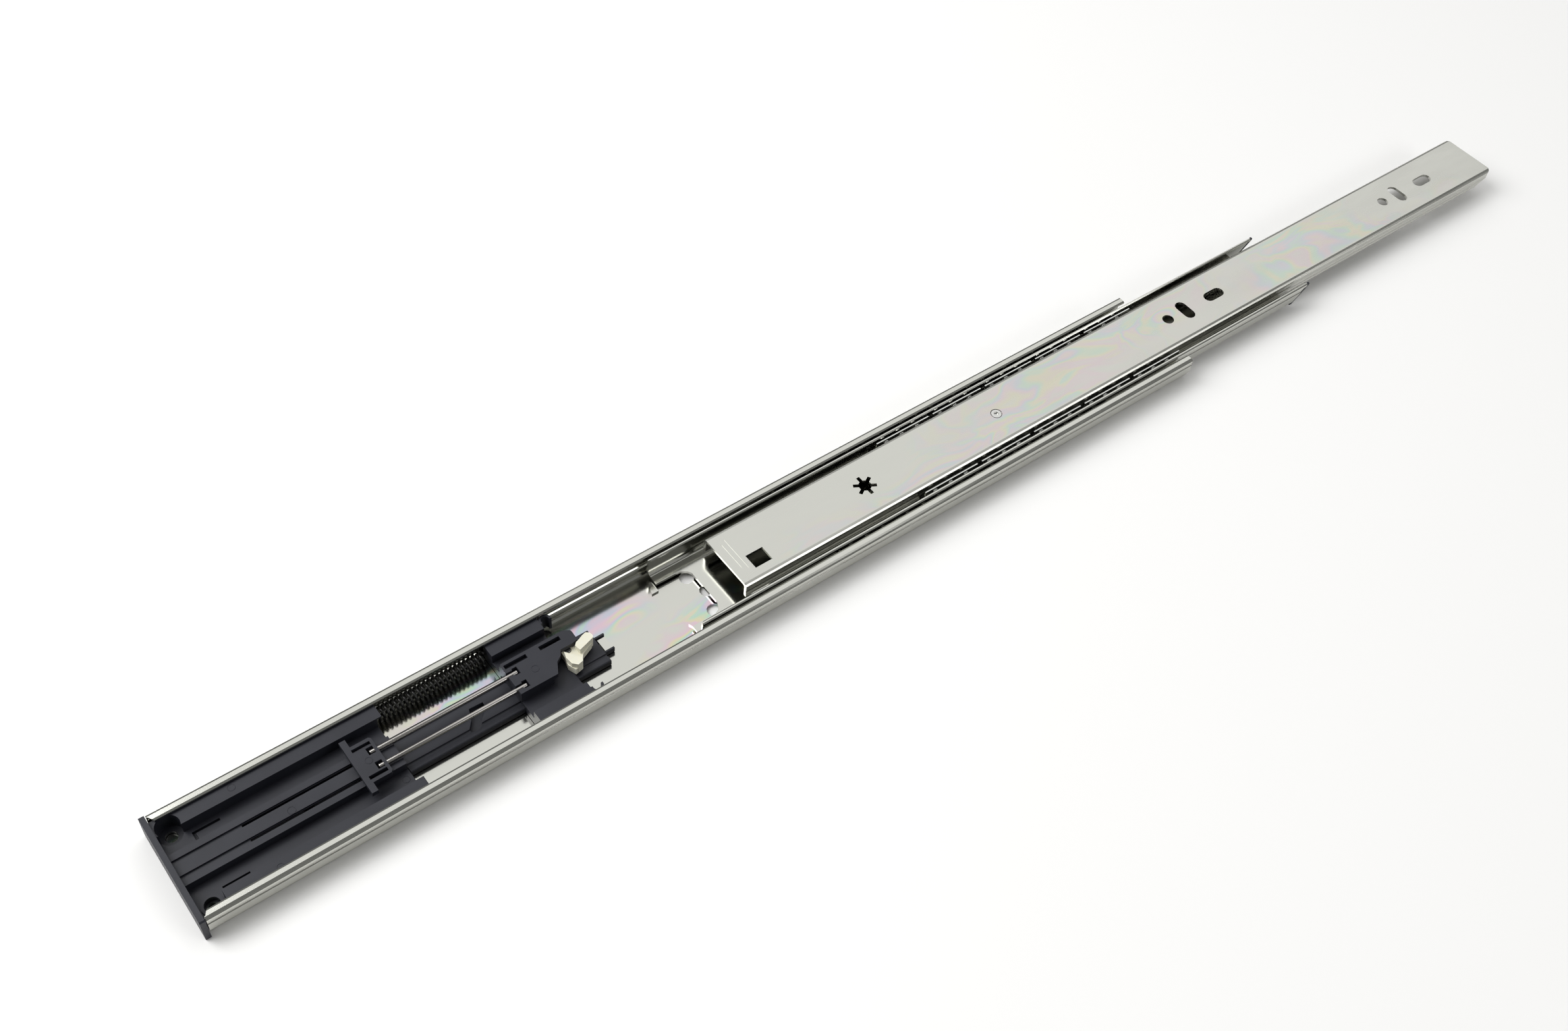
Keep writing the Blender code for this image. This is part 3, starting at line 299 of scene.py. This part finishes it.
# %% Plastics
def moulded(name, light, dark, roughness, grain):
    """A moulded plastic that drifts between two close colours, with a fine grain."""
    paint, tree, shader = material(name)
    cloud = noise(tree, (90, 90, 90), 3.0)
    into(tree, ramp(tree, cloud, [(0.35, dark), (0.65, light)]), shader, "Base Color")
    speck = noise(tree, (3500, 3500, 3500), 2.0)
    into(tree, span(tree, speck, 0.3, 0.7, roughness - 0.05, roughness + 0.07), shader, "Roughness")
    bump(tree, speck, shader, grain, 0.00001)
    return paint, shader


NYLON_LIGHT = (0.018, 0.019, 0.027)
NYLON_DARK = (0.014, 0.015, 0.022)
ACETAL_LIGHT = (0.80, 0.78, 0.66)
ACETAL_DARK = (0.76, 0.74, 0.61)
black_nylon, shader = moulded("black_nylon", NYLON_LIGHT, NYLON_DARK, 0.46, 0.3)
shader.inputs["Specular IOR Level"].default_value = 0.4
ivory_acetal, shader = moulded("ivory_acetal", ACETAL_LIGHT, ACETAL_DARK, 0.38, 0.12)
shader.inputs["Subsurface Weight"].default_value = 0.25
shader.inputs["Subsurface Radius"].default_value = (0.0015, 0.0013, 0.0009)
print("plastics:", black_nylon.name, ivory_acetal.name)

# %% [markdown]
# ## Small steel
# Balls, rods and cages are bare bright steel, a little uneven in tone. The spring wire is
# painted near-black, as painted shade for the unlit inside of the coil, so it shines only in glints.


# %% Small steel
def bare_steel(name, color, roughness, stretch, metal=1.0):
    """Bare steel with a slight unevenness in its tone and shine."""
    paint, tree, shader = material(name)
    shader.inputs["Metallic"].default_value = metal
    cloud = noise(tree, stretch, 3.0)
    darker = tuple(0.88 * value for value in color)
    into(tree, ramp(tree, cloud, [(0.3, darker), (0.7, color)]), shader, "Base Color")
    into(tree, span(tree, cloud, 0.3, 0.7, roughness - 0.03, roughness + 0.05), shader, "Roughness")
    return paint


bright_steel = bare_steel("bright_steel", (0.62, 0.62, 0.60), 0.16, (800, 800, 800))
rod_steel = bare_steel("rod_steel", (0.46, 0.44, 0.42), 0.25, (40, 300, 300))
cage_steel = bare_steel("cage_steel", (0.60, 0.61, 0.58), 0.22, (200, 500, 500))
# The spring wire's near-black colour is painted shade for the unlit inside of the coil.
painted_shade_wire = bare_steel("painted_shade_wire", (0.022, 0.022, 0.021), 0.24, (900, 900, 900), 0.25)
print("steels:", bright_steel.name, rod_steel.name, cage_steel.name, painted_shade_wire.name)

# %% [markdown]
# ## Pressed and moulded parts
# The frame's parts stay where they are and keep their meshes. Rolled steel keeps the crisp
# lines of its bends. On the mouldings a stack of modifiers joins the flat faces, rounds the
# edges over so that each catches a thin highlight, and keeps the wide flats flat.


# %% Finish the frame's parts
def finished(name, paint, edge=0.0):
    """Give a part of the frame its finish, and round its sharper edges over by edge metres."""
    part = nodes[name]
    part.data.materials.clear()
    part.data.materials.append(paint)
    if edge:
        part.data.shade_smooth()
        weld = part.modifiers.new("corners", "WELD")
        weld.merge_threshold = MERGE_DISTANCE
        planes = part.modifiers.new("planes", "DECIMATE")
        planes.decimate_type = "DISSOLVE"
        planes.angle_limit = math.radians(0.3)
        rounding = part.modifiers.new("edges", "BEVEL")
        rounding.width = edge
        rounding.segments = 2
        rounding.limit_method = "ANGLE"
        rounding.angle_limit = math.radians(30)
        weigh = part.modifiers.new("flats", "WEIGHTED_NORMAL")
        weigh.weight = 70


MERGE_DISTANCE = 0.000002
MOULDED_EDGE = 0.00016
TRIGGER_EDGE = 0.00025
PIN_EDGE = 0.00008
for name, paint in (
    ("cabinet_member", zinc_channel),
    ("intermediate_member", zinc_middle),
    ("drawer_member", zinc_drawer),
):
    finished(name, paint)
for name in (
    "soft_close_housing",
    "soft_close_carriage",
    "carriage_rail",
    "damper_yoke",
    "damper_plunger",
    "bumper_near",
    "bumper_far",
):
    finished(name, black_nylon, MOULDED_EDGE)
finished("trigger_hook", ivory_acetal, TRIGGER_EDGE)
for name in ("outer_ball_cage", "inner_ball_cage"):
    finished(name, cage_steel)
for name in ("trigger_pin", "drawer_rivet"):
    finished(name, bright_steel, PIN_EDGE)

# %% [markdown]
# ## Bearing balls
# Each cage holds groups of three balls on both sides. The frame has only the end ones,
# so their spacing is read from it, and every pocket gets a rounder ball.


# %% Balls
GROUPS = 5
BALLS_PER_GROUP = 3


def middle(name):
    """The middle of a part of the frame."""
    low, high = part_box(name)
    return (low + high) / 2


def ball_row(name, prefix, last_number, cage):
    """All the balls of one cage as one piece, spaced as the frame's balls are."""
    first = middle(prefix + "near_1")
    last = middle(prefix + f"near_{last_number}")
    low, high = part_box(prefix + "near_1")
    radius = (high.z - low.z) / 2
    step = middle(prefix + "near_2").x - first.x
    pitch = (last.x - (BALLS_PER_GROUP - 1) * step - first.x) / (GROUPS - 1)
    shape = bmesh.new()
    for side in (-1, 1):
        for group in range(GROUPS):
            for pocket in range(BALLS_PER_GROUP):
                ball = bmesh.ops.create_uvsphere(shape, u_segments=16, v_segments=10, radius=radius)
                x = first.x + group * pitch + pocket * step
                place = (x, side * abs(first.y), first.z)
                bmesh.ops.translate(shape, vec=place, verts=ball["verts"])
    made = object_from(shape, name, bright_steel)
    made.data.shade_smooth()
    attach(made, body_of_node[cage])
    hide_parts(*[part for part in nodes if part.startswith(prefix) and part != cage])
    print(name, "ball radius", round(radius, 5), "spacing", round(step, 4), "pitch", round(pitch, 4))


ball_row("inner_balls", "inner_ball_", 6, "inner_ball_cage")
ball_row("outer_balls", "outer_ball_", 4, "outer_ball_cage")

# %% [markdown]
# ## Link rods
# Two drawn wires tie the carriage to the damper. Each is a plain round bar along the slide.


# %% Rods
def round_rod(node_name):
    """A smooth round bar that stands for a rod of the frame, its rims rounded over."""
    low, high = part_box(node_name)
    radius = (high.z - low.z) / 2
    shape = bmesh.new()
    bmesh.ops.create_cone(
        shape,
        cap_ends=True,
        segments=32,
        radius1=radius,
        radius2=radius,
        depth=high.x - low.x,
    )
    bmesh.ops.rotate(shape, verts=shape.verts, matrix=Matrix.Rotation(math.radians(90), 3, "Y"))
    bmesh.ops.translate(shape, verts=shape.verts, vec=(low + high) / 2)
    rims = [e for e in shape.edges if e.calc_face_angle(0) > 1]
    bmesh.ops.bevel(
        shape,
        geom=rims,
        offset=radius * 0.3,
        segments=3,
        profile=0.5,
        affect="EDGES",
        material=-1,
    )
    made = object_from(shape, node_name + "_wire", rod_steel)
    made.data.shade_smooth()
    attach(made, body_of_node[node_name])
    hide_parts(node_name)


round_rod("link_rod_near")
round_rod("link_rod_far")

# %% [markdown]
# ## Spring
# The tension spring is a close helix of wire, painted near-black as painted shade for the unlit coil.
# A small circle is spun round the spring's axis and moved along as it goes, which is how a coil is
# wound.

# %% Wind the spring
WIRE_RADIUS = 0.00045
COIL_TURNS = 60
STEPS_PER_TURN = 18
low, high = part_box("carriage_spring")
coil_middle = (low + high) / 2
coil_radius = (high.y - low.y) / 2
steps = COIL_TURNS * STEPS_PER_TURN
length = high.x - low.x - 2 * WIRE_RADIUS
coil = bmesh.new()
ring = bmesh.ops.create_circle(coil, cap_ends=False, segments=8, radius=WIRE_RADIUS)
upright = Matrix.Rotation(math.radians(90), 4, "X")
bmesh.ops.transform(coil, matrix=upright, verts=ring["verts"])
start = (low.x + WIRE_RADIUS, coil_middle.y, coil_middle.z + coil_radius - WIRE_RADIUS)
bmesh.ops.translate(coil, vec=start, verts=ring["verts"])
bmesh.ops.spin(
    coil,
    geom=coil.edges[:],
    cent=coil_middle,
    axis=(1, 0, 0),
    dvec=(length / steps, 0, 0),
    angle=2 * math.pi * COIL_TURNS,
    steps=steps,
    use_duplicate=False,
)
bmesh.ops.holes_fill(coil, edges=[edge for edge in coil.edges if edge.is_boundary])
bmesh.ops.recalc_face_normals(coil, faces=coil.faces)
# Painted shade: the coil is given the near-black wire finish.
spring = object_from(coil, "tension_spring", painted_shade_wire)
spring.data.shade_smooth()
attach(spring, "cabinet_side")
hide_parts("carriage_spring")
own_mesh(spring)
print("spring:", COIL_TURNS, "turns over", round(length, 4), "m,", len(spring.data.polygons), "faces")

# %% [markdown]
# ## Moulding marks
# Ejector pins leave faint round witness rings on moulded faces. Each ring is a thin
# circle spun round an upright axis, half sunk in the surface straight below its place.


# %% Ejector rings
RING_WIRE = 0.00009
ABOVE = 0.03


def witness_rings(name, body, places):
    """Rings on the tops of moulded parts; places are (part, x, y, radius)."""
    shape = bmesh.new()
    bpy.context.view_layer.update()
    for part, x, y, radius in places:
        hit, spot, _, _ = nodes[part].ray_cast((x, y, ABOVE), (0, 0, -1))
        if not hit:
            continue
        profile = bmesh.ops.create_circle(shape, segments=6, radius=RING_WIRE)
        upright = Matrix.Rotation(math.radians(90), 3, "X")
        bmesh.ops.rotate(shape, verts=profile["verts"], matrix=upright)
        bmesh.ops.translate(shape, verts=profile["verts"], vec=(x + radius, y, spot.z))
        edges = list({edge for vert in profile["verts"] for edge in vert.link_edges})
        bmesh.ops.spin(
            shape,
            geom=edges,
            cent=(x, y, spot.z),
            axis=(0, 0, 1),
            angle=2 * math.pi,
            steps=24,
            use_merge=True,
        )
    bmesh.ops.recalc_face_normals(shape, faces=shape.faces)
    made = object_from(shape, name, black_nylon)
    made.data.shade_smooth()
    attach(made, body)
    print(name, "at heights", sorted({round(v.co.z, 4) for v in made.data.vertices})[-1:])


witness_rings(
    "housing_marks",
    "cabinet_side",
    [
        ("soft_close_housing", -0.1825, -0.001, 0.0014),
        ("soft_close_housing", -0.1950, 0.0172, 0.0013),
        ("soft_close_housing", -0.1950, -0.0186, 0.0013),
        ("soft_close_housing", -0.1450, -0.0100, 0.0013),
    ],
)
witness_rings(
    "carriage_marks",
    "carriage",
    [("damper_yoke", -0.1530, 0.0000, 0.0013), ("soft_close_carriage", -0.0870, 0.0002, 0.0014)],
)
